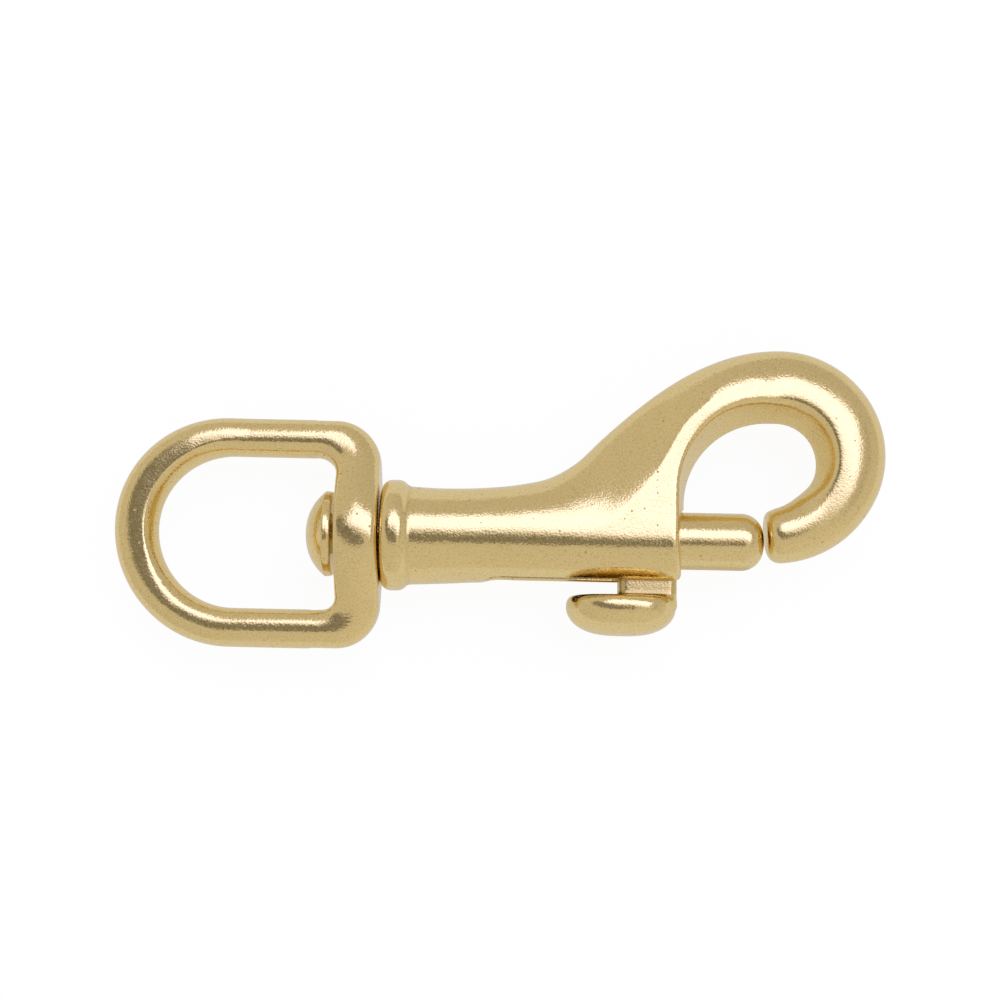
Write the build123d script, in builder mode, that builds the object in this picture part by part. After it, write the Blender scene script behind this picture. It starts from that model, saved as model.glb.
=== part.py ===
"""Swivel-eye bolt snap: a cast brass hook with a sprung bolt for its gate.

The snap lies on its side. X runs along the barrel from the eye to the hook, Y from the thumb knob
to the top of the hook, and Z is up. Along the snap, places are measured from the collar's rear
face on the barrel's axis: u along the axis, v across it towards the top of the hook.
"""
import os
from math import atan2, cos, degrees, hypot, radians, sin

from build123d import *

os.makedirs("parts", exist_ok=True)

# Driving dimensions, in millimetres and degrees

# Barrel and collar
collar_radius = 5.8
collar_width = 2.85
collar_round = 1.1
barrel_radius = 4.85
barrel_length = 31.7
bore_radius = 3.15
rear_wall = 4.3
slot_width = 3.8
slot_rear = 10.8

# Hook
hook_radius = 11.15
hook_half_depth = 3.4
hook_top_width = 7.85
hook_side_width = 7.4
gate_length = 8.6
tip_reach = 1.55
tip_radius = 2.85
tip_rise = 0.75
tip_heading = 175
tip_round = 0.8
opening_peak_setback = 1.25
opening_flat = 0.8
opening_corner = 3.5
gate_setback = 0.85

# How much wider the hook's opening is at its faces than at its middle
flare_depth = 5.5
flare_muzzle = 1.2
flare_top = 3.8
flare_side = 2.75
flare_corner = 1.3

# Bolt, stem and thumb knob
bolt_radius = 3.0
bolt_tail = 8.5
nose_round = 2.0
nose_gap = 0.3
stem_length = 6.05
stem_thickness = 3.4
stem_setback = 0.8
stem_round = 1.3
knob_length = 11.45
knob_width = 8.4
knob_wall = 1.15
knob_dome = 3.0
knob_gap = 1.1
knob_bevel = 0.4

# Swivel eye
eye_opening = 16.0
eye_inner_length = 18.5
eye_wire = 4.05
eye_end_wire = 4.55
eye_half_depth = 2.15
eye_bar = 4.7
eye_bar_bevel = 0.5
eye_corner = 5.0
eye_inner_corner = 1.3
boss_radius = 5.7
swivel_gap = 0.2

# Swivel rivet
head_radius = 4.45
head_dome = 2.1
head_rim = 0.75
head_gap = 0.15
shank_radius = 2.1
shank_clearance = 0.2
tail_radius = 2.8
tail_height = 1.2

# Spring
spring_wire = 0.7
spring_turns = 7
spring_wire_sides = 6
spring_clearance = 0.3
spring_end_gap = 0.05

overrun = 3.0
unit_ball = 1.0

# Shape of the casting as shares. Each upright rib is (along the way to the hook's centre, climb of
# the back, climb of the crest, climb of the keel, change of depth from the barrel to the hook).
arm_rib_shares = (
    (0.029, 0.022, 0.0, -0.021, -0.23),
    (0.151, 0.010, 0.0, -0.010, -0.10),
    (0.252, 0.019, 0.0, 0.004, 0.0),
    (0.349, 0.049, 0.0, 0.0, 0.0),
    (0.421, 0.098, 0.0, 0.0, 0.0),
    (0.486, 0.202, 0.0, 0.0, 0.0),
    (0.553, 0.376, 0.0, 0.0, 0.0),
    (0.630, 0.560, 0.0, 0.0, 0.0),
    (0.702, 0.711, 0.0, 0.0, 0.0),
    (0.767, 0.822, 0.0, 0.0, 0.0),
    (0.817, 0.889, 0.03, 0.0, 0.05),
    (0.865, 0.939, 0.35, 0.15, 0.35),
    (0.928, 0.982, 0.80, 0.75, 0.78),
)
# Each rib round the hook's centre is (turn from the top in degrees, then outer, crest and inner
# radius as shares of the hook's radius, and change of depth from the hook to the tip).
hook_rib_shares = (
    (0, 1.0, 0.538, 0.161, 0.0),
    (35, 1.0, 0.534, 0.206, 0.04),
    (70, 1.0, 0.529, 0.260, 0.15),
    (100, 0.995, 0.547, 0.314, 0.27),
    (128, 0.990, 0.620, 0.381, 0.45),
    (152, 1.005, 0.700, 0.414, 0.64),
)
# How far the tip hangs below the hook's centre, as a share of the hook's radius
tip_drop_share = 0.776
# How much of the eye wire's width lies outside its crest
eye_crest_share = 0.6

# Places worked out from the sizes
hook_centre_u = barrel_length + gate_length + tip_reach
hook_centre_v = tip_rise + tip_drop_share * hook_radius
hook_rise = hook_centre_v + hook_radius
knob_top = -(barrel_radius + knob_gap)
knob_bottom = knob_top - knob_wall - knob_dome
eye_bar_outer = -swivel_gap
eye_bar_inner = eye_bar_outer - eye_bar
eye_end = eye_bar_inner - eye_inner_length - eye_end_wire
eye_half_height = eye_opening / 2 + eye_wire
snap_end = hook_centre_u + hook_radius
stem_front = barrel_length - stem_setback
tip_u = hook_centre_u - tip_reach
nose_u = tip_u - nose_gap
tail_u = stem_front - bolt_tail
spring_seat = rear_wall + tail_height
slot_end = slot_rear + slot_width / 2
slot_mouth = barrel_length + overrun

# The lying snap: its footprint's middle is the origin, and its collar rests on the surface
snap_low = min(knob_bottom, -eye_half_height)
snap = Plane(origin=(-(snap_end + eye_end) / 2, -(hook_rise + snap_low) / 2, collar_radius))


def at(u, v=0, lift=0):
    """A point of the lying snap."""
    return snap.from_local_coords((u, v, lift))


def crosswise(u):
    """The plane square to the barrel's axis at u."""
    return Plane(origin=at(u), x_dir=(0, 1, 0), z_dir=(1, 0, 0))


def rib(u, v, heading, outer, inner, depth):
    """One cross-section of a casting: two half ellipses that share their depth at the crest.

    The heading turns clockwise from a section that points up, towards the top of the hook.
    """
    turn = radians(heading)
    plane = Plane(origin=at(u, v), x_dir=(sin(turn), cos(turn), 0), z_dir=(cos(turn), -sin(turn), 0))
    with BuildSketch(plane) as section:
        with BuildLine():
            EllipticalCenterArc((0, 0), outer, depth, -90, arc_size=180)
            EllipticalCenterArc((0, 0), inner, depth, 90, arc_size=180)
        make_face()
    return section.sketch


def hook_ribs():
    """The sections of the casting, from inside the collar, up the arm and round to the tip."""
    crest_share, keel_share = hook_rib_shares[0][2:4]
    crest_top = hook_centre_v + crest_share * hook_radius
    keel_top = hook_centre_v + keel_share * hook_radius
    ribs = []
    for along, back, crest, keel, thinner in arm_rib_shares:
        crest_v = crest * crest_top
        back_v = barrel_radius + back * (hook_rise - barrel_radius)
        keel_v = -barrel_radius + keel * (keel_top + barrel_radius)
        depth = barrel_radius + thinner * (hook_half_depth - barrel_radius)
        ribs.append(rib(along * hook_centre_u, crest_v, 0, back_v - crest_v, crest_v - keel_v, depth))
    for turn, outer, crest, inner, thinner in hook_rib_shares:
        reach = crest * hook_radius
        u = hook_centre_u + reach * sin(radians(turn))
        v = hook_centre_v + reach * cos(radians(turn))
        depth = hook_half_depth + thinner * (tip_radius - hook_half_depth)
        ribs.append(rib(u, v, turn, (outer - crest) * hook_radius, (crest - inner) * hook_radius, depth))
    ribs.append(rib(tip_u, tip_rise, tip_heading, tip_radius, tip_radius, tip_radius))
    return ribs


def hook_opening(lift):
    """The outline of the hook's opening and gate at a height above or below the hook's middle."""
    flare = abs(lift) / flare_depth
    left = barrel_length - flare * flare_muzzle
    peak = hook_centre_u - opening_peak_setback
    top = hook_rise - hook_top_width + flare * flare_top
    right = snap_end - hook_side_width + flare * flare_side
    corner = opening_corner + flare * flare_corner
    low = -(barrel_radius + overrun)
    shoulder = top - (peak - left)
    crown = peak + opening_flat
    side = top - (right - crown)
    gate_end = tip_u - gate_setback
    with BuildSketch(snap.offset(lift)) as outline:
        with BuildLine():
            Line((left, low), (left, shoulder))
            CenterArc((peak, shoulder), peak - left, 180, -90)
            Line((peak, top), (crown, top))
            CenterArc((crown, side), right - crown, 90, -90)
            CenterArc((right - corner, side), corner, 0, -90)
            Polyline((right - corner, side - corner), (gate_end, side - corner), (gate_end, low), (left, low))
        make_face()
    return outline.sketch


# Hook body: collar, barrel, arm and hook cast in one
with BuildPart() as hook_body:
    with BuildSketch(crosswise(0)):
        Circle(collar_radius)
    extrude(amount=collar_width)
    fillet(hook_body.edges().filter_by(GeomType.CIRCLE), collar_round)
    loft(hook_ribs())
    fillet(hook_body.faces().filter_by(GeomType.PLANE).sort_by(Axis.X)[-1].edges(), tip_round)
    loft([hook_opening(lift) for lift in (-flare_depth, 0, flare_depth)], ruled=True, mode=Mode.SUBTRACT)
    with BuildSketch(crosswise(rear_wall)):
        Circle(bore_radius)
    extrude(amount=barrel_length - rear_wall + overrun, mode=Mode.SUBTRACT)
    with BuildSketch(crosswise(0)):
        Circle(shank_radius + shank_clearance)
    extrude(amount=rear_wall, mode=Mode.SUBTRACT)
    with BuildSketch(Plane(origin=at(0), x_dir=(1, 0, 0), z_dir=(0, -1, 0))):
        with BuildLine():
            CenterArc((slot_end, 0), slot_width / 2, 90, 180)
            Polyline((slot_end, -slot_width / 2), (slot_mouth, -slot_width / 2), (slot_mouth, slot_width / 2),
                     (slot_end, slot_width / 2))
        make_face()
    extrude(amount=barrel_radius + overrun, mode=Mode.SUBTRACT)
hook_body.part.label = "hook_body"
export_step(hook_body.part, "parts/hook_body.step")

# Knob cap: the rounded half of the thumb knob, half a unit ball drawn out to the knob's sizes
with BuildPart() as knob_cap:
    Sphere(unit_ball)
    split(bisect_by=Plane.XZ, keep=Keep.TOP)
    scale(by=(knob_length / 2, knob_dome, knob_width / 2))

# Bolt: plunger, stem through the slot and thumb knob cast in one
with BuildPart() as bolt:
    with BuildSketch(crosswise(tail_u)):
        Circle(bolt_radius)
    extrude(amount=nose_u - tail_u)
    fillet(bolt.edges().sort_by(Axis.X)[-1], nose_round)
    knob_u = stem_front - knob_length / 2
    with BuildSketch(Plane(origin=at(knob_u, knob_top), x_dir=(1, 0, 0), z_dir=(0, -1, 0))):
        Ellipse(knob_length / 2, knob_width / 2)
    extrude(amount=knob_wall)
    chamfer(bolt.faces().filter_by(Axis.Y).sort_by(Axis.Y)[-1].edges(), knob_bevel)
    with Locations(at(knob_u, knob_top - knob_wall)):
        add(knob_cap.part)
    with BuildSketch(Plane(origin=at(stem_front - stem_length / 2), x_dir=(1, 0, 0), z_dir=(0, -1, 0))):
        RectangleRounded(stem_length, stem_thickness, stem_round)
    extrude(amount=-knob_top + knob_bevel)
bolt.part.label = "bolt"
export_step(bolt.part, "parts/bolt.step")

# Spring: a plain coil between the rivet's tail and the bolt
coil_radius = bore_radius - spring_clearance - spring_wire / 2
coil_start = spring_seat + spring_end_gap + spring_wire / 2
coil_length = tail_u - spring_end_gap - spring_wire / 2 - coil_start
with BuildPart() as spring:
    with BuildLine() as coil:
        Helix(coil_length / spring_turns, coil_length, coil_radius, center=at(coil_start), direction=(1, 0, 0))
    with BuildSketch(Plane(origin=coil.line @ 0, z_dir=coil.line % 0)):
        RegularPolygon(spring_wire / 2, spring_wire_sides)
    sweep(is_frenet=True)
spring.part.label = "spring"
export_step(spring.part, "parts/spring.step")


# Swivel eye: a D-shaped loop whose straight side carries the boss for the rivet
def eye_rib(inner, outer):
    """A section of the eye between a point of its opening and one of its outside."""
    across = (outer[0] - inner[0], outer[1] - inner[1])
    width = hypot(*across)
    u = inner[0] + (1 - eye_crest_share) * across[0]
    v = inner[1] + (1 - eye_crest_share) * across[1]
    heading = degrees(atan2(*across))
    return rib(u, v, heading, eye_crest_share * width, (1 - eye_crest_share) * width, eye_half_depth)


def eye_ribs():
    """The sections of the eye's loop, from the boss round the far end and back to the boss."""
    inner_radius = eye_opening / 2
    outer_radius = eye_half_height
    inner_centre = eye_bar_inner - eye_inner_length + inner_radius
    outer_centre = eye_end + outer_radius
    arm_end = eye_bar_outer - eye_corner - eye_inner_corner
    arm_middle = (arm_end + inner_centre) / 2
    bend = sin(radians(45)) - 1
    spans = [
        ((eye_bar_inner, boss_radius / 2), (eye_bar_outer, boss_radius / 2)),
        ((eye_bar_inner, boss_radius), (eye_bar_outer, boss_radius)),
        ((eye_bar_inner + bend * eye_inner_corner, inner_radius + bend * eye_inner_corner),
         (eye_bar_outer + bend * eye_corner, outer_radius + bend * eye_corner)),
        ((arm_end, inner_radius), (arm_end, outer_radius)),
        ((arm_middle, inner_radius), (arm_middle, outer_radius)),
    ]
    for turn in (0, 30, 60):
        along = sin(radians(turn))
        across = cos(radians(turn))
        spans.append(((inner_centre - inner_radius * along, inner_radius * across),
                      (outer_centre - outer_radius * along, outer_radius * across)))
    far_end = ((eye_bar_inner - eye_inner_length, 0), (eye_end, 0))
    mirrored = [tuple((u, -v) for u, v in span) for span in spans]
    return [eye_rib(*span) for span in mirrored + [far_end] + spans[::-1]]


with BuildPart() as swivel_eye:
    with BuildSketch(crosswise(eye_bar_inner)):
        Circle(boss_radius)
    extrude(amount=eye_bar)
    chamfer(swivel_eye.edges().filter_by(GeomType.CIRCLE), eye_bar_bevel)
    loft(eye_ribs())
    with BuildSketch(crosswise(eye_bar_inner)):
        Circle(shank_radius + shank_clearance)
    extrude(amount=eye_bar, mode=Mode.SUBTRACT)
swivel_eye.part.label = "swivel_eye"
export_step(swivel_eye.part, "parts/swivel_eye.step")

# Swivel rivet: domed head in the eye, shank through eye and collar, tail clinched in the bore
head_seat = eye_bar_inner - head_gap
head_edge = head_seat - head_rim
head_tip = head_edge - head_dome
dome_sphere = (head_radius ** 2 + head_dome ** 2) / (2 * head_dome)
tail_sphere = (tail_radius ** 2 + tail_height ** 2) / (2 * tail_height)
with BuildPart() as swivel_rivet:
    with BuildSketch(snap):
        with BuildLine():
            RadiusArc((head_tip, 0), (head_edge, head_radius), dome_sphere)
            Polyline((head_edge, head_radius), (head_seat, head_radius), (head_seat, shank_radius),
                     (rear_wall, shank_radius), (rear_wall, tail_radius))
            RadiusArc((rear_wall, tail_radius), (rear_wall + tail_height, 0), tail_sphere)
            Line((rear_wall + tail_height, 0), (head_tip, 0))
        make_face()
    revolve(axis=Axis(at(0), (1, 0, 0)))
swivel_rivet.part.label = "swivel_rivet"
export_step(swivel_rivet.part, "parts/swivel_rivet.step")
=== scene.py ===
# %% [markdown]
# A brass bolt snap, dressed for its picture
#
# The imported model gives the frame: five solids on three bodies, in metres. Here each solid is
# drawn again as a smooth skin with the softened edges that tumbling leaves on a casting, and then
# gets its brass or steel. The frame itself is never moved.

import bpy
import numpy as np
from mathutils import Matrix, Vector


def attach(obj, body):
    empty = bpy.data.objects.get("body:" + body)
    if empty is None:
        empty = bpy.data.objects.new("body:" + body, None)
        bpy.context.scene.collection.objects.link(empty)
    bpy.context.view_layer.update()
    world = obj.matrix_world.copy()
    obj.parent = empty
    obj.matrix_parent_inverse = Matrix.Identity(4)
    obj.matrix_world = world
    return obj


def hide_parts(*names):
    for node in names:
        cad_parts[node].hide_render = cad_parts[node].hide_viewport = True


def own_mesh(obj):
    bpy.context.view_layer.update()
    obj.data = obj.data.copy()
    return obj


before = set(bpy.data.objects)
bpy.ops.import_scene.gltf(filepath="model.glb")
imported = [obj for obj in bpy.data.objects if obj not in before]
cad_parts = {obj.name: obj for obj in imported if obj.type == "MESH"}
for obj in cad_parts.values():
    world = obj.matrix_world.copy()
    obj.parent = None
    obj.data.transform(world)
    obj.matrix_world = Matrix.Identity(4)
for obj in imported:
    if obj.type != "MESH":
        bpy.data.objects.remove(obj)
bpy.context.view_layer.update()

# %% [markdown]
# Places on the snap are easiest to say along the barrel: u runs from the collar's rear face towards
# the hook, v from the thumb knob towards the top of the hook, and w up from the barrel's axis, all
# in millimetres. One shift and one scale turn them into the frame's metres.

# %% Sizes shared with the solids, in millimetres
AXIS_PLACE = np.array([-12.525, -4.25, 5.8])
COLLAR_RADIUS, COLLAR_WIDTH, COLLAR_ROUND = 5.8, 2.85, 1.1
BARREL_RADIUS, BARREL_LENGTH, BORE_RADIUS, REAR_WALL = 4.85, 31.7, 3.15, 4.3
HOOK_U, HOOK_V, HOOK_RADIUS, HOOK_DEPTH = 41.85, 9.4, 11.15, 3.4
TIP_U, TIP_V, TIP_RADIUS, TIP_HEADING = 40.3, 0.75, 2.85, np.radians(175)
HOOK_RISE = HOOK_V + HOOK_RADIUS


def metres(places):
    """Millimetres along the snap to metres in the frame: add the axis's place, divide by 1000."""
    return (places + AXIS_PLACE) / 1000


print("the barrel's axis starts at", metres(np.zeros(3)))

# %% [markdown]
# A casting has no edges: tumbling with ceramic chips rounds every corner, and the mould rounds every
# hollow. Surfaces on a grid would need a strip along each such edge. It is simpler to describe the
# solid by a field, a number that is negative inside and positive outside, because fields can be
# joined and cut with a soft minimum and maximum, which round the seam by themselves. The skin is
# then the surface where the field is nought.

# %% Joining and cutting fields softly
def soft_max(a, b, soft):
    """The larger of two fields, with a rounding of about soft millimetres where they cross.

    The rounding adds h * h * soft / 4, and h falls from one to nought as the fields part by soft.
    """
    near = np.maximum(soft - np.abs(a - b), 0) / soft
    return np.maximum(a, b) + near * near * soft / 4


def soft_min(a, b, soft):
    """The smaller of two fields: the soft maximum with all signs turned."""
    return -soft_max(-a, -b, soft)


def oval(across, along, deep, width, length, depth):
    """Distance to an ellipsoid, near enough: k (k - 1) / m.

    k is the length of the place divided by the radii, and m its length divided by the radii twice.
    """
    k = np.sqrt((across / width) ** 2 + (along / length) ** 2 + (deep / depth) ** 2) + 1e-6
    m = np.sqrt((across / width ** 2) ** 2 + (along / length ** 2) ** 2 + (deep / depth ** 2) ** 2) + 1e-6
    return k * (k - 1) / m


def rounded(first, second, round_off):
    """Distance to a corner of two faces, given the distance past each face, rounded off by a radius."""
    first, second = first + round_off, second + round_off
    outside = np.hypot(np.maximum(first, 0), np.maximum(second, 0))
    return outside + np.minimum(np.maximum(first, second), 0) - round_off


def ramp(place, start, end):
    """A straight climb from nought at start to one at end, level outside them."""
    return np.clip((place - start) / (end - start), 0, 1)


print("soft maximum of two equal fields:", soft_max(np.array(0.0), np.array(0.0), 0.4))

# %% [markdown]
# The skin is found on a lattice of small cells. Each cell that the surface passes through gets one
# vertex, at the mean of the places where its edges cross nought, and each crossed lattice edge gets
# the face between the four cells around it. Three short steps down the field's slope then put every
# vertex on the true surface, so that the reflections run as smoothly as the formula does.

# %% From a field to a skin
def slope(field, places, reach=0.02):
    """The field's slope at each place: half the difference over a short reach along u, v and w."""
    steps = np.eye(3) * reach
    return np.stack([(field(places + s) - field(places - s)) / (2 * reach) for s in steps], axis=1)


def skin(field, low, high, cell):
    """Vertices and faces of the surface where the field is nought, between two corners."""
    axes = [np.arange(a, b + cell, cell) for a, b in zip(low, high)]
    places = np.stack(np.meshgrid(*axes, indexing="ij"), axis=-1)
    value = field(places.reshape(-1, 3)).reshape(places.shape[:3])
    inside = value < 0
    cells = tuple(n - 1 for n in value.shape)
    total = np.zeros(cells + (3,))
    count = np.zeros(cells)
    crossed = []
    for axis in range(3):
        front = tuple(slice(1, None) if a == axis else slice(None) for a in range(3))
        back = tuple(slice(0, -1) if a == axis else slice(None) for a in range(3))
        cross = inside[front] != inside[back]
        share = np.where(cross, value[back] / np.where(cross, value[back] - value[front], 1), 0)
        point = places[back].copy()
        point[..., axis] += share * cell
        one, two = [a for a in range(3) if a != axis]
        for i in (0, 1):
            for j in (0, 1):
                pick = [slice(None)] * 3
                pick[one] = slice(i, i + cells[one])
                pick[two] = slice(j, j + cells[two])
                total += np.where(cross[tuple(pick)][..., None], point[tuple(pick)], 0)
                count += cross[tuple(pick)]
        crossed.append((axis, one, two, np.argwhere(cross), inside[back]))
    used = count > 0
    number = np.full(cells, -1)
    number[used] = np.arange(used.sum())
    vertices = total[used] / count[used][:, None]
    faces = []
    for axis, one, two, spots, filled in crossed:
        kept = spots[(spots[:, one] > 0) & (spots[:, two] > 0)]
        kept = kept[(kept[:, one] < cells[one]) & (kept[:, two] < cells[two])]
        corner = []
        for i, j in ((1, 1), (0, 1), (0, 0), (1, 0)):
            near = kept.copy()
            near[:, one] -= i
            near[:, two] -= j
            corner.append(number[tuple(near.T)])
        quad = np.stack(corner, axis=1)
        outward = filled[tuple(kept.T)] == (axis != 1)
        faces.append(np.where(outward[:, None], quad, quad[:, ::-1]))
    for _ in range(3):
        down = slope(field, vertices)
        step = field(vertices)[:, None] * down / np.maximum((down ** 2).sum(1), 1e-3)[:, None]
        vertices = vertices - np.clip(step, -cell, cell)
    return vertices, np.concatenate(faces)


def bend(field, places, reach=0.12):
    """How strongly the skin curves, per millimetre: the field's mean at a short reach less its value.

    It is large on outside edges, small on faces and negative in hollows.
    """
    steps = np.concatenate([np.eye(3), -np.eye(3)]) * reach
    return (sum(field(places + s) for s in steps) - 6 * field(places)) / reach ** 2


def piece(name, vertices, faces, body, node, marks=None):
    """A smooth mesh of the given vertices, in millimetres, that rides a body in a node's place."""
    mesh = bpy.data.meshes.new(name)
    mesh.from_pydata(metres(vertices), [], faces.tolist())
    mesh.polygons.foreach_set("use_smooth", np.ones(len(mesh.polygons), bool))
    for label, values in (marks or {}).items():
        mesh.attributes.new(label, "FLOAT", "POINT").data.foreach_set("value", values.astype(np.float32))
    made = bpy.data.objects.new(name, mesh)
    bpy.context.scene.collection.objects.link(made)
    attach(made, body)
    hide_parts(node)
    print(name, "has", len(mesh.vertices), "vertices and", 2 * len(faces), "triangles")
    return made


# %% [markdown]
# The hook body is one casting. Along the barrel and up the arm its sections stand upright, and round
# the hook they fan out from the hook's centre. Each section is two half ovals that share a crest. A
# smooth run through a few such ribs gives the back, crest, keel and depth anywhere between them. On
# the arm the upper half starts at a ridge that climbs across the face. Below the ridge the face is
# flat and leans a little, and above it the oval falls away more sharply than a true one.

# %% The casting's sections
def run(place, places, values, ends_level=True):
    """A smooth curve through values at places: cubic pieces whose slopes are the mean of neighbours'."""
    places, values = np.asarray(places, float), np.asarray(values, float)
    slopes = np.gradient(values, places)
    if ends_level:
        slopes[[0, -1]] = 0
    place = np.clip(place, places[0], places[-1])
    i = np.clip(np.searchsorted(places, place) - 1, 0, len(places) - 2)
    gap = places[i + 1] - places[i]
    t = (place - places[i]) / gap
    return ((1 + 2 * t) * (1 - t) ** 2 * values[i] + t * (1 - t) ** 2 * gap * slopes[i]
            + t * t * (3 - 2 * t) * values[i + 1] + t * t * (t - 1) * gap * slopes[i + 1])


# Each upright rib is its way along, then the climb of back, crest and keel, and the change of depth
ARM_RIBS = np.array([
    (0.029, 0.022, 0.0, -0.021, -0.23), (0.151, 0.010, 0.0, -0.010, -0.10), (0.252, 0.019, 0.0, 0.004, 0.0),
    (0.349, 0.049, 0.0, 0.0, 0.0), (0.421, 0.098, 0.0, 0.0, 0.0), (0.486, 0.202, 0.0, 0.0, 0.0),
    (0.553, 0.376, 0.0, 0.0, 0.0), (0.630, 0.560, 0.0, 0.0, 0.0), (0.702, 0.711, 0.0, 0.0, 0.0),
    (0.767, 0.822, 0.0, 0.0, 0.0), (0.817, 0.889, 0.03, 0.0, 0.05), (0.865, 0.939, 0.35, 0.15, 0.35),
    (0.928, 0.982, 0.80, 0.75, 0.78), (1.0, 1.0, 1.0, 1.0, 1.0)])
# Each fan rib is its turn from the top in degrees, then outer, crest and inner radius and the thinning
FAN_RIBS = np.array([
    (0, 1.0, 0.538, 0.161, 0.0), (35, 1.0, 0.534, 0.206, 0.04), (70, 1.0, 0.529, 0.260, 0.15),
    (100, 0.995, 0.547, 0.314, 0.27), (128, 0.990, 0.620, 0.381, 0.45), (152, 1.005, 0.700, 0.414, 0.64),
    (190, 1.045, 0.789, 0.533, 1.0)])
CREST_TOP = HOOK_V + FAN_RIBS[0, 2] * HOOK_RADIUS
KEEL_TOP = HOOK_V + FAN_RIBS[0, 3] * HOOK_RADIUS
# The ridge that climbs from the barrel's crest to the hook's: its way along and its height
RIDGE = np.array([(15, 0), (20, 0.3), (23.3, 1.0), (26.7, 4.2), (28.8, 7.0), (30.9, 10.9), (33, 13.2),
                  (37, 15.5), (HOOK_U, CREST_TOP)])
# How sharply the oval falls away above the ridge, and how much the face leans per millimetre
FALL_POWER = np.array([(15, 1), (21, 0.75), (33, 0.75), (40, 1)])
FACE_LEAN = np.array([(16, 0), (22, 0.006), (33, 0.006), (40, 0)])
# The part that belongs to the hook's tip, and the rounding of the tip's flat end
TIP_REAR, TIP_UPPER, TIP_ROUND = TIP_U - 3, 5.0, 1.5


def casting(u, v, w):
    """The uncut casting: the oval of the section that the place lies in, and the flat end of the tip."""
    along = ARM_RIBS[:, 0] * HOOK_U
    back = run(u, along, BARREL_RADIUS + ARM_RIBS[:, 1] * (HOOK_RISE - BARREL_RADIUS))
    crest = run(u, along, ARM_RIBS[:, 2] * CREST_TOP)
    keel = run(u, along, -BARREL_RADIUS + ARM_RIBS[:, 3] * (KEEL_TOP + BARREL_RADIUS))
    deep = run(u, along, BARREL_RADIUS + ARM_RIBS[:, 4] * (HOOK_DEPTH - BARREL_RADIUS))
    ridge = run(u, *RIDGE.T)
    width = np.where(v > ridge, back - ridge, crest - keel)
    above = (np.maximum(v - ridge, 0) / (back - ridge)) ** run(u, *FALL_POWER.T)
    below = np.maximum(crest - v, 0) / (crest - keel)
    slant = 1 + run(u, *FACE_LEAN.T) * (np.hypot(v, 1) + v - 1)
    arm = oval((above + below) * width, 0 * u, w * slant, width, 1, deep)
    turn = np.degrees(np.arctan2(u - HOOK_U, v - HOOK_V))
    turn = np.where(turn < -120, turn + 360, turn)
    reach = np.hypot(u - HOOK_U, v - HOOK_V) / HOOK_RADIUS
    outer, crest, inner, thin = (run(turn, FAN_RIBS[:, 0], FAN_RIBS[:, i], False) for i in (1, 2, 3, 4))
    wide = np.where(reach > crest, outer - crest, crest - inner) * HOOK_RADIUS
    deep = HOOK_DEPTH + thin * (TIP_RADIUS - HOOK_DEPTH)
    fan = oval((reach - crest) * HOOK_RADIUS, 0 * u, w, wide, 1, deep)
    end = (u - TIP_U) * np.cos(TIP_HEADING) - (v - TIP_V) * np.sin(TIP_HEADING)
    fan = soft_max(fan, end, TIP_ROUND)
    return np.where((u > HOOK_U) | ((u > TIP_REAR) & (v < TIP_UPPER)), fan, arm)


# The opening at mid depth: where its top arc changes to level and bends again, its edges and its corner
PEAK_U, CROWN_U, GATE_END = HOOK_U - 1.25, HOOK_U - 0.45, TIP_U - 0.85
OPENING_TOP, OPENING_RIGHT, OPENING_CORNER = HOOK_RISE - 7.85, HOOK_U + HOOK_RADIUS - 7.4, 3.5
# How much each of them widens over a depth of FLARE_DEPTH
FLARE_DEPTH, LEFT_FLARE, TOP_FLARE, RIGHT_FLARE, CORNER_FLARE = 5.5, 1.2, 2.8, 2.75, 1.3


def opening(u, v, w):
    """Distance to the hook's opening and gate, whose outline of arcs widens towards both faces."""
    flare = np.abs(w) / FLARE_DEPTH
    left = BARREL_LENGTH - LEFT_FLARE * flare
    top = OPENING_TOP + TOP_FLARE * flare
    right = OPENING_RIGHT + RIGHT_FLARE * flare
    corner = OPENING_CORNER + CORNER_FLARE * flare
    shoulder, side = top - (PEAK_U - left), top - (right - CROWN_U)
    upper_left = np.where(v > shoulder, np.hypot(u - PEAK_U, v - shoulder) - (PEAK_U - left), left - u)
    upper_right = np.where(u > CROWN_U, np.hypot(u - CROWN_U, v - side) - (right - CROWN_U), v - top)
    bend_in = np.hypot(u - right + corner, v - side) - corner
    lower_right = np.where(u > right - corner, bend_in, side - corner - v)
    return np.where(u < PEAK_U, np.where((u > GATE_END) & (v < side), lower_right, upper_left),
                    np.where(v > side, upper_right, lower_right))


BARREL_START, FIRST_RIB = 0.6, 1.2
RIVET_HOLE, SLOT_REAR, SLOT_HALF = 2.3, 12.7, 1.9
COLLAR_JOIN, OPENING_EDGE, BORE_EDGE, SLOT_EDGE = 0.35, 0.55, 0.25, 0.45
# The sand face starts this far below the tumbled outside and is whole at the second depth
SAND_DEPTHS = (-0.3, -0.3 - 1 / 3)


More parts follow.
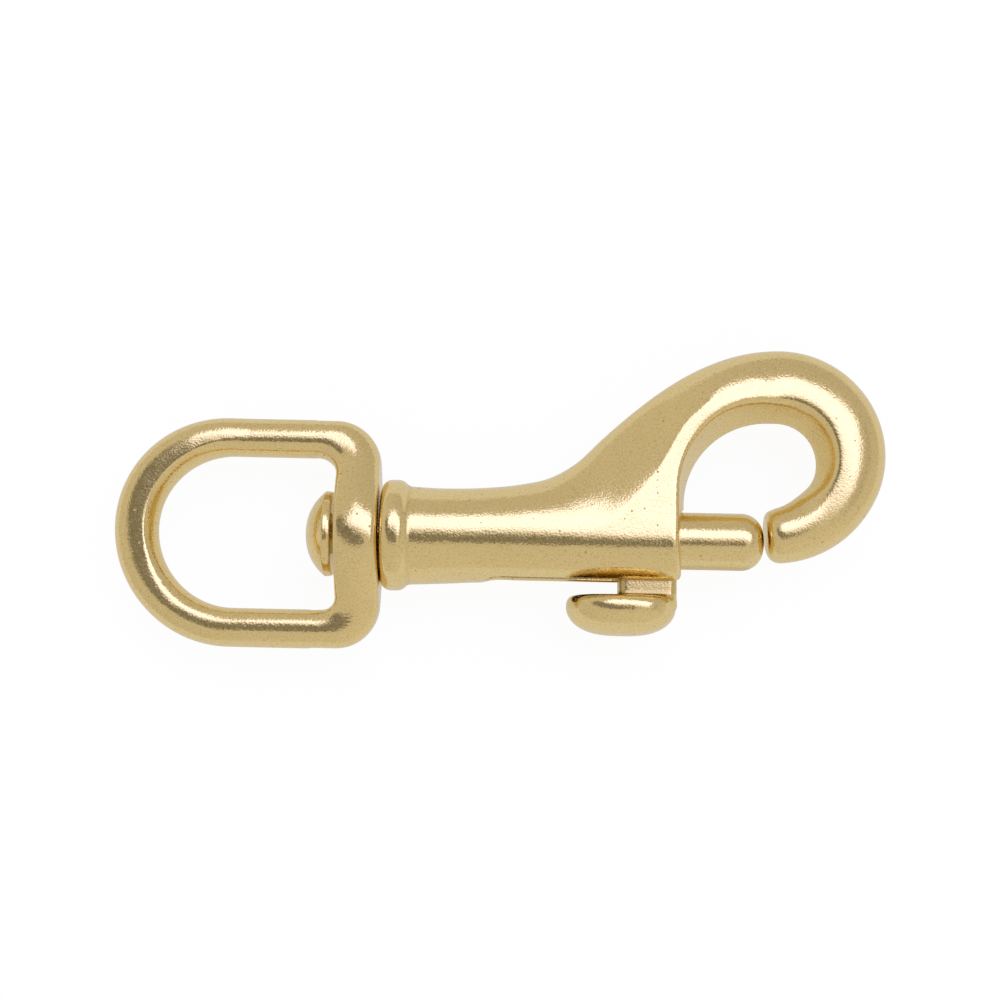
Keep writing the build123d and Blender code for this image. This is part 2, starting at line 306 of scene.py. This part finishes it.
def hook_field(places):
    """Collar and casting joined softly, less the opening, the bore, the rivet's hole and the slot."""
    u, v, w = places.T
    out = np.hypot(v, w)
    collar = rounded(np.abs(u - COLLAR_WIDTH / 2) - COLLAR_WIDTH / 2, out - COLLAR_RADIUS, COLLAR_ROUND)
    body = np.where(u < FIRST_RIB, out - BARREL_RADIUS, casting(u, v, w))
    body = soft_min(np.maximum(body, BARREL_START - u), collar, COLLAR_JOIN)
    body = soft_max(body, -opening(u, v, w), OPENING_EDGE)
    bore = np.maximum(out - BORE_RADIUS, REAR_WALL - u)
    hole = np.maximum(out - RIVET_HOLE, u - REAR_WALL - 0.5)
    slot = np.maximum(np.hypot(np.maximum(SLOT_REAR - u, 0), w) - SLOT_HALF, v)
    body = soft_max(body, -np.where(u > TIP_REAR, 1.0, np.minimum(bore, hole)), BORE_EDGE)
    return soft_max(body, -np.where(u > TIP_REAR, 1.0, slot), SLOT_EDGE)


vertices, faces = skin(hook_field, low=(-0.5, -6.4, -6.4), high=(53.4, 20.8, 6.4), cell=0.24)
as_cast = ramp(casting(*vertices.T), *SAND_DEPTHS)
hook = piece("hook_casting", vertices, faces, "body", "hook_body",
             {"bend": bend(hook_field, vertices), "as_cast": as_cast})

# %% [markdown]
# The bolt is a plunger with a rounded nose, a short stem that stands in the slot, and a thumb knob
# like half an almond, a little fuller than an ellipsoid. It was cast in one, so the three fields are
# joined with small hollows.

# %% The bolt
NOSE_U, TAIL_U, BOLT_RADIUS, NOSE_ROUND, TAIL_ROUND = 40.0, 22.4, 3.0, 2.3, 0.4
STEM_FRONT, STEM_LENGTH, STEM_HALF, STEM_ROUND, STEM_TOP = 30.9, 6.05, 1.7, 0.9, -2.6
KNOB_TOP, KNOB_WALL, KNOB_DOME, KNOB_EDGE = -5.95, 1.15, 3.0, 1.1
KNOB_HALF_LENGTH, KNOB_HALF_WIDTH = 5.725, 4.2
# The knob's ends are blunter by this power, and its flank above the dome closes in at this rate
KNOB_POWER, KNOB_FLANK = 1.35, 0.6
STEM_JOIN, KNOB_JOIN = 0.3, 0.5


def bolt_field(places):
    """Plunger, stem and knob joined softly: a rounded bar, a rounded block and half an ellipsoid."""
    u, v, w = places.T
    out = np.hypot(v, w)
    middle = (NOSE_U + TAIL_U) / 2
    end_round = np.where(u > middle, NOSE_ROUND, TAIL_ROUND)
    plunger = rounded(np.abs(u - middle) - (NOSE_U - TAIL_U) / 2, out - BOLT_RADIUS, end_round)
    centre = STEM_FRONT - STEM_LENGTH / 2
    stem = rounded(np.abs(u - centre) - STEM_LENGTH / 2, np.abs(w) - STEM_HALF, STEM_ROUND)
    stem = np.maximum(stem, np.maximum(v, KNOB_TOP - 1 - v))
    centre = STEM_FRONT - KNOB_HALF_LENGTH
    hang = v - (KNOB_TOP - KNOB_WALL)
    hang = np.where(hang > 0, KNOB_FLANK * hang, hang)
    share = (np.abs(u - centre) / KNOB_HALF_LENGTH) ** KNOB_POWER
    knob = oval(share * KNOB_HALF_LENGTH, hang, w, KNOB_HALF_LENGTH, KNOB_DOME, KNOB_HALF_WIDTH)
    knob = soft_max(knob, v - KNOB_TOP, KNOB_EDGE)
    return soft_min(soft_min(plunger, stem, STEM_JOIN), knob, KNOB_JOIN)


vertices, faces = skin(bolt_field, low=(18.8, -10.7, -4.8), high=(40.6, 3.5, 4.8), cell=0.17)
height = vertices[:, 1]
# The stem's mark takes the dark sand tone, which is partly painted shade under the barrel
stem_part = ramp(height, KNOB_TOP + 0.1, KNOB_TOP + 0.35) * ramp(height, STEM_TOP, STEM_TOP - 0.25)
bolt = piece("bolt_casting", vertices, faces, "bolt", "bolt",
             {"bend": bend(bolt_field, vertices), "as_cast": stem_part})

# %% [markdown]
# The eye is a D-shaped loop. Two rounded boxes give its inner and outer outline, and how far a place
# lies from each says where it is across the wire. The loop leans and bows by a fraction of a
# millimetre, and its far arc is worn: flat on top, with a steep inner flank. The boss for the rivet is
# a short round drum with a slight crown, and a wide soft join gives the hollow where it meets the
# loop's corners. Near the boss the outlines trim that join.

# %% The swivel eye
# Each outline: far and near end, half width, and the corner radius at the far and near end
EYE_INNER, EYE_OUTER = (-23.4, -4.65, 8.0, 8.0, 1.3), (-27.95, -0.12, 12.05, 12.05, 4.6)
EYE_HALF_DEPTH, EYE_CREST_SHARE, EYE_POWER, EYE_UPPER_ROUND = 2.15, 0.55, 1.15, 2.1
EYE_LEAN, EYE_BOW, BOW_FROM, BOW_TO = 0.02, 0.3, -13, -28
# The worn arc: where it sets in along u and v, and what it does to crest, flanks and tilt
WEAR_FROM, WEAR_TO, WEAR_LOW, WEAR_HIGH = -14, -20, -8, -3
WEAR_CREST, WEAR_OUTSIDE, WEAR_INSIDE, WEAR_TILT = 0.19, 0.55, 0.6, 0.014
BOSS_RADIUS, BOSS_MIDDLE, BOSS_HALF, BOSS_ROUND, BOSS_CROWN = 5.58, -2.55, 2.35, 0.7, 0.07
BOSS_JOIN, TRIM_EDGE, TRIM_FROM, TRIM_TO, TRIM_AWAY, HOLE_EDGE = 5.5, 0.3, -7, -12, 3, 0.2


def rounded_box(u, v, low, high, half, far_round, near_round):
    """Distance to a flat box between low and high along u, with one corner radius at each end."""
    middle = (low + high) / 2
    corner = np.where(u < middle, far_round, near_round)
    return rounded(np.abs(u - middle) - (high - low) / 2, np.abs(v) - half, corner)


def eye_field(places):
    """The loop's two half ovals and the boss joined softly, less the hole for the rivet."""
    u, v, w = places.T
    leant, bowed = u + EYE_LEAN * v, v - EYE_BOW * ramp(u, BOW_FROM, BOW_TO) ** 2
    from_inside = rounded_box(leant, bowed, *EYE_INNER[:4], np.where(v > 0, EYE_UPPER_ROUND, EYE_INNER[4]))
    from_outside = rounded_box(leant, bowed, *EYE_OUTER)
    wire = from_inside - from_outside
    worn = ramp(u, WEAR_FROM, WEAR_TO) * ramp(v, WEAR_LOW, WEAR_HIGH)
    outer_share = EYE_CREST_SHARE + WEAR_CREST * worn
    across = from_inside - (1 - outer_share) * wire
    wide = np.where(across > 0, outer_share, 1 - outer_share) * wire
    power = EYE_POWER + np.where(across > 0, WEAR_OUTSIDE, -WEAR_INSIDE) * worn
    share = (np.abs(across) / wide) ** power
    loop = oval(share * wide, 0 * u, w * (1 - WEAR_TILT * v * worn), wide, 1, EYE_HALF_DEPTH)
    out, from_middle = np.hypot(v, w), u - BOSS_MIDDLE
    crowned = out - BOSS_RADIUS + BOSS_CROWN * from_middle ** 2
    boss = rounded(np.abs(from_middle) - BOSS_HALF, crowned, BOSS_ROUND)
    away = TRIM_AWAY * ramp(u, TRIM_FROM, TRIM_TO)
    joined = soft_max(soft_min(loop, boss, BOSS_JOIN), from_outside - away, TRIM_EDGE)
    joined = soft_max(joined, -from_inside - away, TRIM_EDGE)
    hole = np.where(u > EYE_INNER[1] - 3, RIVET_HOLE - out, -1.0)
    return soft_max(joined, hole, HOLE_EDGE)


vertices, faces = skin(eye_field, low=(-28.6, -12.7, -6.3), high=(0.4, 12.7, 6.3), cell=0.2)
eye = piece("eye_casting", vertices, faces, "eye", "swivel_eye",
            {"bend": bend(eye_field, vertices), "as_cast": np.zeros(len(vertices))})

# %% [markdown]
# The rivet is turned and headed, so it is a profile carried round the axis: a shallow dome, a short
# rim, the shank through boss and rear wall, and the tail that was beaten over inside the bore.

# %% The rivet
def rings(grid):
    """Vertices and faces of rows of points that close round: each face joins two rows and two columns."""
    rows, sides = grid.shape[:2]
    row, column = np.meshgrid(np.arange(rows - 1), np.arange(sides), indexing="ij")
    beside = (column + 1) % sides
    quads = np.stack([(row + 1) * sides + column, (row + 1) * sides + beside, row * sides + beside,
                      row * sides + column], axis=-1)
    return grid.reshape(-1, 3), quads.reshape(-1, 4)


def turned(profile, sides):
    """A profile of (u, radius) rows carried round the axis: v is radius times cosine, w times sine."""
    angle = np.linspace(0, 2 * np.pi, sides, endpoint=False)
    u, radius = profile.T
    return rings(np.stack([np.repeat(u[:, None], sides, 1), np.outer(radius, np.cos(angle)),
                           np.outer(radius, np.sin(angle))], axis=-1))


def arc(start, end, rise, count=14):
    """Points from start to end on a bow whose middle stands off the chord by rise."""
    t = np.linspace(0, 1, count)[:, None]
    chord = np.subtract(end, start)
    square = np.array([-chord[1], chord[0]]) / np.hypot(*chord)
    return np.asarray(start) + t * chord + 4 * t * (1 - t) * rise * square


HEAD_SEAT, HEAD_RADIUS, HEAD_RISE, DOME_BOW = -5.05, 4.45, 2.85, 0.56
SHANK_RADIUS, TAIL_RADIUS, TAIL_RISE, TAIL_BOW, AXIS_GAP = 2.1, 2.75, 1.2, 0.28, 0.01
profile = np.concatenate([
    arc((HEAD_SEAT - HEAD_RISE, AXIS_GAP), (HEAD_SEAT - 0.95, HEAD_RADIUS - 0.12), DOME_BOW, 26),
    arc((HEAD_SEAT - 0.88, HEAD_RADIUS - 0.05), (HEAD_SEAT - 0.6, HEAD_RADIUS), 0.04, 5),
    arc((HEAD_SEAT - 0.5, HEAD_RADIUS), (HEAD_SEAT, HEAD_RADIUS - 0.12), 0.03, 5),
    arc((HEAD_SEAT, HEAD_RADIUS - 0.3), (HEAD_SEAT, SHANK_RADIUS), 0, 4),
    arc((HEAD_SEAT, SHANK_RADIUS), (REAR_WALL, SHANK_RADIUS), 0, 10),
    arc((REAR_WALL, SHANK_RADIUS + 0.1), (REAR_WALL, TAIL_RADIUS), 0, 4),
    arc((REAR_WALL + 0.08, TAIL_RADIUS + 0.05), (REAR_WALL + TAIL_RISE, AXIS_GAP), TAIL_BOW, 12)])
vertices, faces = turned(profile, 96)
rivet = piece("rivet", vertices, faces, "body", "swivel_rivet",
              {"bend": np.full(len(vertices), 0.3), "as_cast": np.zeros(len(vertices))})

# %% [markdown]
# The spring is a round wire carried along a helix. It shortens as the bolt is drawn back.

# %% The spring
COIL_RADIUS, WIRE, COIL_START, COIL_END, TURNS, TRAVEL = 2.5, 0.35, 5.9, 22.0, 7, 10.5
# Each end of the wire tapers over one part in this many, down to this share of its section
END_TAPER, END_SHARE = 400, 0.0004


def helix_tube(along_count, round_count):
    """A wire round a helix: the centre climbs evenly, and the section turns in the helix's own frame."""
    t = np.linspace(0, 1, along_count)[:, None]
    turn = 2 * np.pi * TURNS * t
    pitch = (COIL_END - COIL_START) / (2 * np.pi * TURNS)
    outward = np.concatenate([0 * t, np.cos(turn), np.sin(turn)], axis=1)
    forward = np.concatenate([0 * t + pitch, -COIL_RADIUS * np.sin(turn),
                              COIL_RADIUS * np.cos(turn)], axis=1)
    forward /= np.linalg.norm(forward, axis=1, keepdims=True)
    side = np.cross(forward, outward)
    centre = COIL_RADIUS * outward
    centre[:, :1] = COIL_START + (COIL_END - COIL_START) * t
    around = np.linspace(0, 2 * np.pi, round_count, endpoint=False)
    thin = WIRE * np.sqrt(np.clip(np.minimum(t, 1 - t) * END_TAPER, END_SHARE, 1))
    return rings(centre[:, None] + (thin * np.cos(around))[..., None] * outward[:, None]
                 + (thin * np.sin(around))[..., None] * side[:, None])


vertices, faces = helix_tube(560, 14)
spring = piece("coil", vertices, faces, "body", "spring")
tuple(metres(np.array([COIL_START - WIRE, 0, 0])))
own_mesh(spring)

# %% [markdown]
# Finishes are node trees. A small class lets a socket be added to and multiplied like a number, and
# one method makes any other node from its type, its settings and its sockets.

# %% Writing shaders as sums
class Strand:
    """An output socket that can be used in sums; each sum adds a Math node."""

    def __init__(self, tree, socket):
        self.tree, self.socket = tree, socket

    def node(self, kind, settings, sockets, output=0):
        """A new node of that kind: settings first, then the values or strands of its sockets."""
        made = self.tree.nodes.new(kind)
        for key, value in settings.items():
            setattr(made, key, value)
        for key, value in sockets.items():
            if isinstance(value, Strand):
                self.tree.links.new(value.socket, made.inputs[key])
            else:
                made.inputs[key].default_value = value
        return Strand(self.tree, made.outputs[output])

    def other(self, output):
        """Another output of the node that this strand comes from."""
        return Strand(self.tree, self.socket.node.outputs[output])

    def sum(self, operation, first, second, clamp=False):
        """A Math node on two strands or numbers."""
        settings = {"operation": operation, "use_clamp": clamp}
        return self.node("ShaderNodeMath", settings, {0: first, 1: second})

    def __add__(self, value):
        return self.sum("ADD", self, value)

    def __sub__(self, value):
        return self.sum("SUBTRACT", self, value)

    def __rsub__(self, value):
        return self.sum("SUBTRACT", value, self)

    def __mul__(self, value):
        return self.sum("MULTIPLY", self, value)

    __radd__, __rmul__ = __add__, __mul__

    def held(self):
        """The strand kept between nought and one."""
        return self.sum("ADD", self, 0.0, True)

    def size(self):
        """The strand without its sign."""
        return self.sum("ABSOLUTE", self, 0.0)

    def mixed(self, low, high):
        """A colour between two colours, by this strand."""
        return self.node("ShaderNodeMix", {"data_type": "RGBA"}, {0: self, 6: low, 7: high}, 2)


def finish(name):
    """A new material with a plain surface shader: the material, its shader node and a starting strand."""
    material = bpy.data.materials.new(name)
    material.use_nodes = True
    tree = material.node_tree
    tree.nodes.clear()
    shader = tree.nodes.new("ShaderNodeBsdfPrincipled")
    sheet = tree.nodes.new("ShaderNodeOutputMaterial")
    tree.links.new(shader.outputs[0], sheet.inputs["Surface"])
    place = tree.nodes.new("ShaderNodeTexCoord")
    return material, shader, Strand(tree, place.outputs["Object"])


def wire_up(shader, **strands):
    """Links strands to the shader's sockets, whose names are given with _ for a space."""
    for key, strand in strands.items():
        strand.tree.links.new(strand.socket, shader.inputs[key.replace("_", " ")])


# %% [markdown]
# Tumbled brass is a mirror with faults. It has a fine grain left by the sand, a slow waviness, a few
# pits, brighter worn edges, and hollows that are a little darker and duller. The sand face inside
# the hook's opening stays rough, and its pale tone is partly painted light bounced into the opening.
# On the bolt's stem the sand face is rough and dark, the dark partly painted shade under the barrel.
# The skin carries two marks for this: how it bends, and how much of the rough face is left.

# %% Tumbled brass
# Sand tones: the pale one is partly painted bounce light, the dark one partly painted shade
BRASS, PALE_SAND_AND_BOUNCE_LIGHT, DARK_SAND_AND_SHADE = (0.85, 0.665, 0.295), (0.93, 0.76, 0.38), (0.62, 0.45, 0.15)
DULL_BRASS, DARK_SPECK = (0.697, 0.5586, 0.22125, 1), (0.425, 0.3059, 0.1062, 1)
BRIGHT_SPECK, PIT_BROWN, WORN_GOLD = (0.98, 0.82, 0.55, 1), (0.30, 0.19, 0.06, 1), (0.93, 0.74, 0.42, 1)
# Cells or waves per metre
GRAIN_SCALE, PATCH_SCALE, WAVE_SCALE, LARGE_PITS, SMALL_PITS = 5200.0, 420.0, 260.0, 430.0, 1500.0
# Heights of the slow waves and of the fine relief, in metres
WAVE_HEIGHT, RELIEF_HEIGHT = 0.0002, 0.00009


def tumbled_brass(name, sand_tone_and_painted_light, seed):
    """Brass whose colour, roughness and fine relief come from grain, waves, pits and the skin's marks."""
    material, shader, place = finish(name)
    shift = (seed, 0.37 * seed, 0.71 * seed)
    shifted = place.node("ShaderNodeVectorMath", {"operation": "ADD"}, {0: place, 1: shift})

    def noise(scale, detail, roughness=0.5):
        """Cloudy noise about one half, with finer layers added for detail."""
        return place.node("ShaderNodeTexNoise", {}, {"Vector": shifted, "Scale": scale, "Detail": detail,
                                                     "Roughness": roughness})

    def pitted(scale, share, widest):
        """Round pits in a share of the cells of a random lattice, each with its own width."""
        cells = place.node("ShaderNodeTexVoronoi", {"feature": "F1"}, {"Vector": shifted, "Scale": scale})
        pick = place.node("ShaderNodeSeparateColor", {}, {0: cells.other(1)})
        return (((pick - (1 - share)).held() * (widest / share) - cells) * 12.0).held()

    grain, patch, wave = noise(GRAIN_SCALE, 0.0), noise(PATCH_SCALE, 3.0, 0.55), noise(WAVE_SCALE, 1.0)
    pits = (pitted(LARGE_PITS, 0.22, 0.12) + pitted(SMALL_PITS, 0.3, 0.22)).held()
    bent = place.node("ShaderNodeAttribute", {"attribute_name": "bend"}, {}, 2)
    rough_face = place.node("ShaderNodeAttribute", {"attribute_name": "as_cast"}, {}, 2)
    # Darker, duller and rougher towards hollows, where the skin bends inwards
    hollow = ((-0.15 - bent) * 0.9).held()
    worn = ((bent - 1.0) * 0.35).held()
    dull = (hollow * 0.35 + ((patch - 0.5) * 0.35)).held()
    colour = dull.mixed((*BRASS, 1), DULL_BRASS)
    # The sand face's tone: pale with painted bounce light in the hook's opening, dark with painted shade on
    # the bolt's stem
    colour = (rough_face * 0.6).held().mixed(colour, (*sand_tone_and_painted_light, 1))
    colour = ((0.47 - grain) * 1.1).held().mixed(colour, DARK_SPECK)
    colour = ((grain - 0.53) * 0.9).held().mixed(colour, BRIGHT_SPECK)
    colour = (pits * 0.55).held().mixed(colour, PIT_BROWN)
    colour = (worn * 0.35).held().mixed(colour, WORN_GOLD)
    roughness = 0.15 + (grain - 0.5) * 0.2 + (patch - 0.5) * 0.06
    roughness = (roughness + rough_face * 0.14 + hollow * 0.1 + pits * 0.3).held()
    height = grain * (0.22 + rough_face * 0.1 + hollow * 0.1) + patch * 0.35 - pits * 0.35
    slow = place.node("ShaderNodeBump", {}, {"Strength": 0.2, "Distance": WAVE_HEIGHT, "Height": wave})
    relief = place.node("ShaderNodeBump", {}, {"Strength": 0.6, "Distance": RELIEF_HEIGHT, "Height": height,
                                               "Normal": slow})
    shader.inputs["Metallic"].default_value = 1.0
    wire_up(shader, Base_Color=colour, Roughness=roughness, Normal=relief)
    print(name, "has", len(material.node_tree.nodes), "nodes")
    return material


brass_pieces = ((hook, "hook_brass", PALE_SAND_AND_BOUNCE_LIGHT, 0.0), (bolt, "bolt_brass", DARK_SAND_AND_SHADE, 0.31),
                (eye, "eye_brass", PALE_SAND_AND_BOUNCE_LIGHT, 0.57), (rivet, "rivet_brass", PALE_SAND_AND_BOUNCE_LIGHT, 0.83))
for made, slot, sand_tone_and_painted_light, seed in brass_pieces:
    made.data.materials.append(tumbled_brass("tumbled_" + slot, sand_tone_and_painted_light, seed))

# %% [markdown]
# The spring is drawn steel wire: grey, with a fine mottle that only shows as a soft sheen.

# %% Drawn steel
material, shader, place = finish("drawn_steel")
mottle = place.node("ShaderNodeTexNoise", {}, {"Vector": place, "Scale": 1800.0, "Detail": 4.0})
shade = mottle.mixed((0.42, 0.42, 0.43, 1), (0.60, 0.60, 0.60, 1))
shader.inputs["Metallic"].default_value = 1.0
wire_up(shader, Base_Color=shade, Roughness=0.22 + mottle * 0.2)
spring.data.materials.append(material)
print("steel on", spring.name)

# %% [markdown]
# The snap lies on a white table. The floor is pale and takes the shadow; to the camera and in the
# brass it is lifted to white, so that the metal shows the same table that the picture does.

# %% Table
MIRRORED_SHARE, TABLE_GREY, TABLE_GLOW, GLOW_SHARE = 0.56, 0.62, 1.1, 0.85
bpy.ops.mesh.primitive_plane_add(size=6.0, location=(0, 0, 0))
table = bpy.context.object
table.name = "table"
material, shader, place = finish("white_table")
tree = material.node_tree
rays = place.node("ShaderNodeLightPath", {}, {})
seen = (rays + rays.other("Is Glossy Ray") * MIRRORED_SHARE + rays.other("Is Transmission Ray")).held()
shader.inputs["Base Color"].default_value = (TABLE_GREY, TABLE_GREY, TABLE_GREY, 1)
shader.inputs["Roughness"].default_value = 0.9
shader.inputs["Specular IOR Level"].default_value = 0.0
plain = Strand(tree, shader.outputs[0])
glow = place.node("ShaderNodeEmission", {}, {"Color": (1, 1, 1, 1), "Strength": TABLE_GLOW})
lit = place.node("ShaderNodeMixShader", {}, {0: GLOW_SHARE, 1: plain, 2: glow})
shown = place.node("ShaderNodeMixShader", {}, {0: seen, 1: plain, 2: lit})
tree.links.new(shown.socket, tree.nodes["Material Output"].inputs["Surface"])
table.data.materials.append(material)
print("table", table.dimensions[:2])

# %% [markdown]
# The brass shows its studio: a long softbox high on the hook's side gives the white bands, the pale
# walls the tan, and the dark stand beside the camera the dark band along every crest. A darker corner
# of the room shades the hook's right side. All are drawn on the room by two angles from the camera's
# line: how far to the right, and how far up. The softbox is cooler than the walls, which keeps the
# bands cream where brass would turn them yellow.

# %% Camera
ELEVATION, DISTANCE, FRAME_WIDTH = np.radians(82.0), 0.170, 0.1054
TARGET = Vector((-0.000125, -0.00035, 0.0058))
ROLL = np.radians(1.2)
back = Vector((0, -np.cos(ELEVATION), np.sin(ELEVATION)))
right = Vector((1, 0, 0))
up = back.cross(right)
turned_right = right * np.cos(ROLL) + up * np.sin(ROLL)
turned_up = back.cross(turned_right)
camera = bpy.data.objects.new("camera", bpy.data.cameras.new("camera"))
camera.data.lens = camera.data.sensor_width * DISTANCE / FRAME_WIDTH
camera.data.clip_start, camera.data.clip_end = 0.01, 20
camera.matrix_world = Matrix((
    (turned_right.x, turned_up.x, back.x, TARGET.x + DISTANCE * back.x),
    (turned_right.y, turned_up.y, back.y, TARGET.y + DISTANCE * back.y),
    (turned_right.z, turned_up.z, back.z, TARGET.z + DISTANCE * back.z), (0, 0, 0, 1)))
bpy.context.scene.collection.objects.link(camera)
bpy.context.scene.camera = camera
print("lens", round(camera.data.lens, 1), "mm")

# %% Directions in the room
world = bpy.data.worlds.new("room")
bpy.context.scene.world = world
world.use_nodes = True
tree = world.node_tree
tree.nodes.clear()
sheet = tree.nodes.new("ShaderNodeOutputWorld")
place = Strand(tree, tree.nodes.new("ShaderNodeTexCoord").outputs["Generated"])


def reach(direction):
    """How far a line of sight leans towards a direction: its part along that direction."""
    sockets = {0: place, 1: tuple(direction)}
    return place.node("ShaderNodeVectorMath", {"operation": "DOT_PRODUCT"}, sockets, 1)


lean_right, lean_up = reach(right), reach(up)
to_right = place.sum("ARCTAN2", lean_right, reach(back)) * (180 / np.pi)
to_up = place.sum("ARCSINE", lean_up, 0.0) * (180 / np.pi)


def panel(at_right, at_up, tilt, half_length, half_width, soft_end, soft_low, soft_high):
    """One inside a tilted rectangle, in degrees, falling to nought over a soft strip along its edges."""
    cos, sin = np.cos(np.radians(tilt)), np.sin(np.radians(tilt))
    beside, above = to_right - at_right, to_up - at_up
    along = (beside * cos + above * sin).size()
    across = above * cos - beside * sin
    low = ((half_width + across) * (1 / soft_low) + 0.5).held()
    high = ((half_width - across) * (1 / soft_high) + 0.5).held()
    return ((half_length - along) * (1 / soft_end) + 0.5).held() * low * high


def streak(start, end, radius, soft):
    """One within a radius of the line between two directions, falling to nought over a soft edge."""
    line = np.subtract(end, start)
    length = np.hypot(*line)
    cos, sin = line / length
    beside, above = to_right - start[0], to_up - start[1]
    along = beside * cos + above * sin
    past = place.sum("MAXIMUM", place.sum("MAXIMUM", 0.0 - along, along - length), 0.0)
    off = above * cos - beside * sin
    gap = place.sum("POWER", off * off + past * past, 0.5)
    return ((radius - gap) * (1 / soft) + 0.5).held()


print("the room is drawn with", len(tree.nodes), "nodes so far")

# %% Softbox, dark stand and walls
WALL_SHADE, STAND_SHADE, CORNER_SHADE, STAND_FOOT = 0.67, 0.25, 0.54, -13.5
BLACK, WHITE = (0, 0, 0, 1), (1, 1, 1, 1)
WALL_TINT, BOX_LIGHT = (0.97, 0.925, 0.92, 1), (1.62, 1.68, 2.65, 1)
softbox = panel(at_right=16, at_up=28, tilt=-25, half_length=29.5, half_width=16,
                soft_end=6.0, soft_low=13.0, soft_high=4.0)
stand = streak(start=(-32, 20), end=(1, -6), radius=12, soft=7.0)
stand = stand * ((to_up - STAND_FOOT) * 0.4 + 0.5).held()
corner = streak(start=(50, -6), end=(62, 24), radius=6, soft=8.0)
walls = WALL_SHADE - lean_up * 0.045 - lean_up * lean_right * 0.09
shade = walls - (walls - STAND_SHADE) * stand - (walls - CORNER_SHADE) * corner
shade = softbox.mixed(shade.mixed(BLACK, WALL_TINT), BOX_LIGHT)
rays = place.node("ShaderNodeLightPath", {}, {})
shade = rays.mixed(shade, WHITE)
glow = place.node("ShaderNodeBackground", {}, {"Color": shade, "Strength": 1.0})
tree.links.new(glow.socket, sheet.inputs["Surface"])
bpy.context.scene.view_settings.view_transform = "Standard"
print("room lit,", len(tree.nodes), "nodes")
